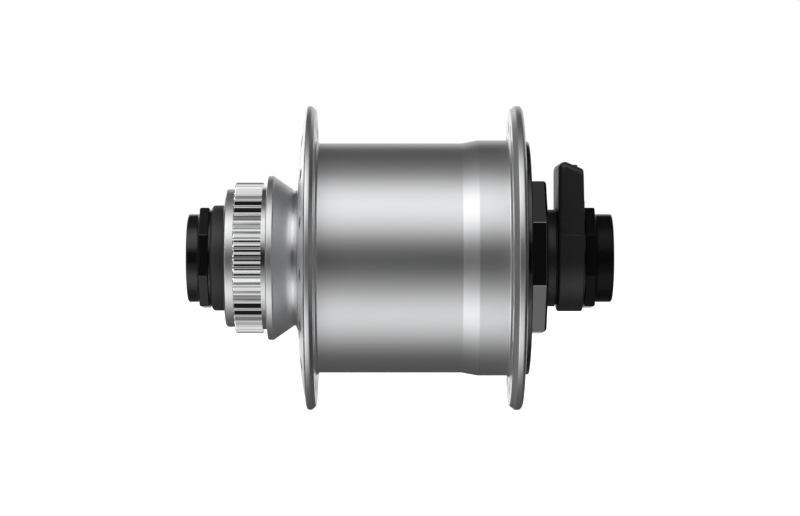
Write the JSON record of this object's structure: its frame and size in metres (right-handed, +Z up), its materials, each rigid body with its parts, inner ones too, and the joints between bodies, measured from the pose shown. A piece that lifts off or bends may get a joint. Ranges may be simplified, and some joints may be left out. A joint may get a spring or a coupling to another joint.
{
  "type": "bicycle hub dynamo",
  "caption": "Front wheel hub for a through axle with two spoke flanges, a splined rotor mount, a generator inside the barrel and a pull-off lamp connector.",
  "frame": {"origin": "centre of the hub on the axle's centre line, midway between the two end faces", "axes": "+Y along the axle towards the rotor side, +Z up towards the connector's head, +X forwards"},
  "size_m": [0.0718, 0.1, 0.0718],
  "materials": {
    "hub_aluminium": "satin silver anodised",
    "axle_aluminium": "machined",
    "black_anodised": "glossy black",
    "dark_cover": "glossy dark grey",
    "black_plastic": "satin moulded",
    "black_rubber": "matt",
    "bearing_steel": "ground and polished",
    "soft_iron": "pressed, lightly oiled",
    "magnet": "sintered, grey",
    "copper": "enamelled wire",
    "contact_brass": "bright",
    "former_plastic": "natural nylon",
    "lead_red": "insulated wire"
  },
  "bodies": {
    "axle_assembly": {"axle": "axle_aluminium", "left_end_cap": "black_anodised", "right_end_cap": "black_anodised", "left_locknut": "black_anodised", "right_locknut": "black_anodised", "left_washer": "black_anodised", "right_washer": "black_anodised", "left_cone": "bearing_steel", "right_cone": "bearing_steel", "left_dust_cover": "black_plastic", "right_dust_cover": "black_plastic", "connector_gasket": "black_rubber", "connector_base": "black_plastic", "contact_blades": "contact_brass", "coil_lead": "lead_red", "stator_core": "soft_iron", "coil_former": "former_plastic", "coil": "copper", "left_claw_yoke": "soft_iron", "right_claw_yoke": "soft_iron", "left_stator_nut": "soft_iron", "right_stator_nut": "soft_iron"},
    "hub_shell": {"left_hub_end": "hub_aluminium", "hub_barrel": "hub_aluminium", "right_cover": "dark_cover", "flux_ring": "soft_iron", "magnets": "magnet", "left_cup": "bearing_steel", "right_cup": "bearing_steel", "left_seal": "black_rubber", "right_seal": "black_rubber", "cover_o_ring": "black_rubber"},
    "left_bearing": {"left_balls": "bearing_steel", "left_ball_cage": "contact_brass"},
    "right_bearing": {"right_balls": "bearing_steel", "right_ball_cage": "contact_brass"},
    "connector_plug": {"connector_cap": "black_plastic"}
  },
  "joints": [
    {"name": "shell_spin", "type": "hinge", "parent": "axle_assembly", "child": "hub_shell", "pos_m": [0, 0, 0], "axis": [0, 1, 0], "continuous": true},
    {"name": "left_bearing_roll", "type": "hinge", "parent": "axle_assembly", "child": "left_bearing", "pos_m": [0, 0, 0], "axis": [0, 1, 0], "continuous": true},
    {"name": "right_bearing_roll", "type": "hinge", "parent": "axle_assembly", "child": "right_bearing", "pos_m": [0, 0, 0], "axis": [0, 1, 0], "continuous": true},
    {"name": "cap_pull", "type": "slide", "parent": "axle_assembly", "child": "connector_plug", "axis": [0, 0, 1], "range_m": [0, 0.016]}
  ],
  "couplings": [
    {"joint": "left_bearing_roll", "follows": "shell_spin", "ratio": 0.56},
    {"joint": "right_bearing_roll", "follows": "shell_spin", "ratio": 0.56}
  ]
}
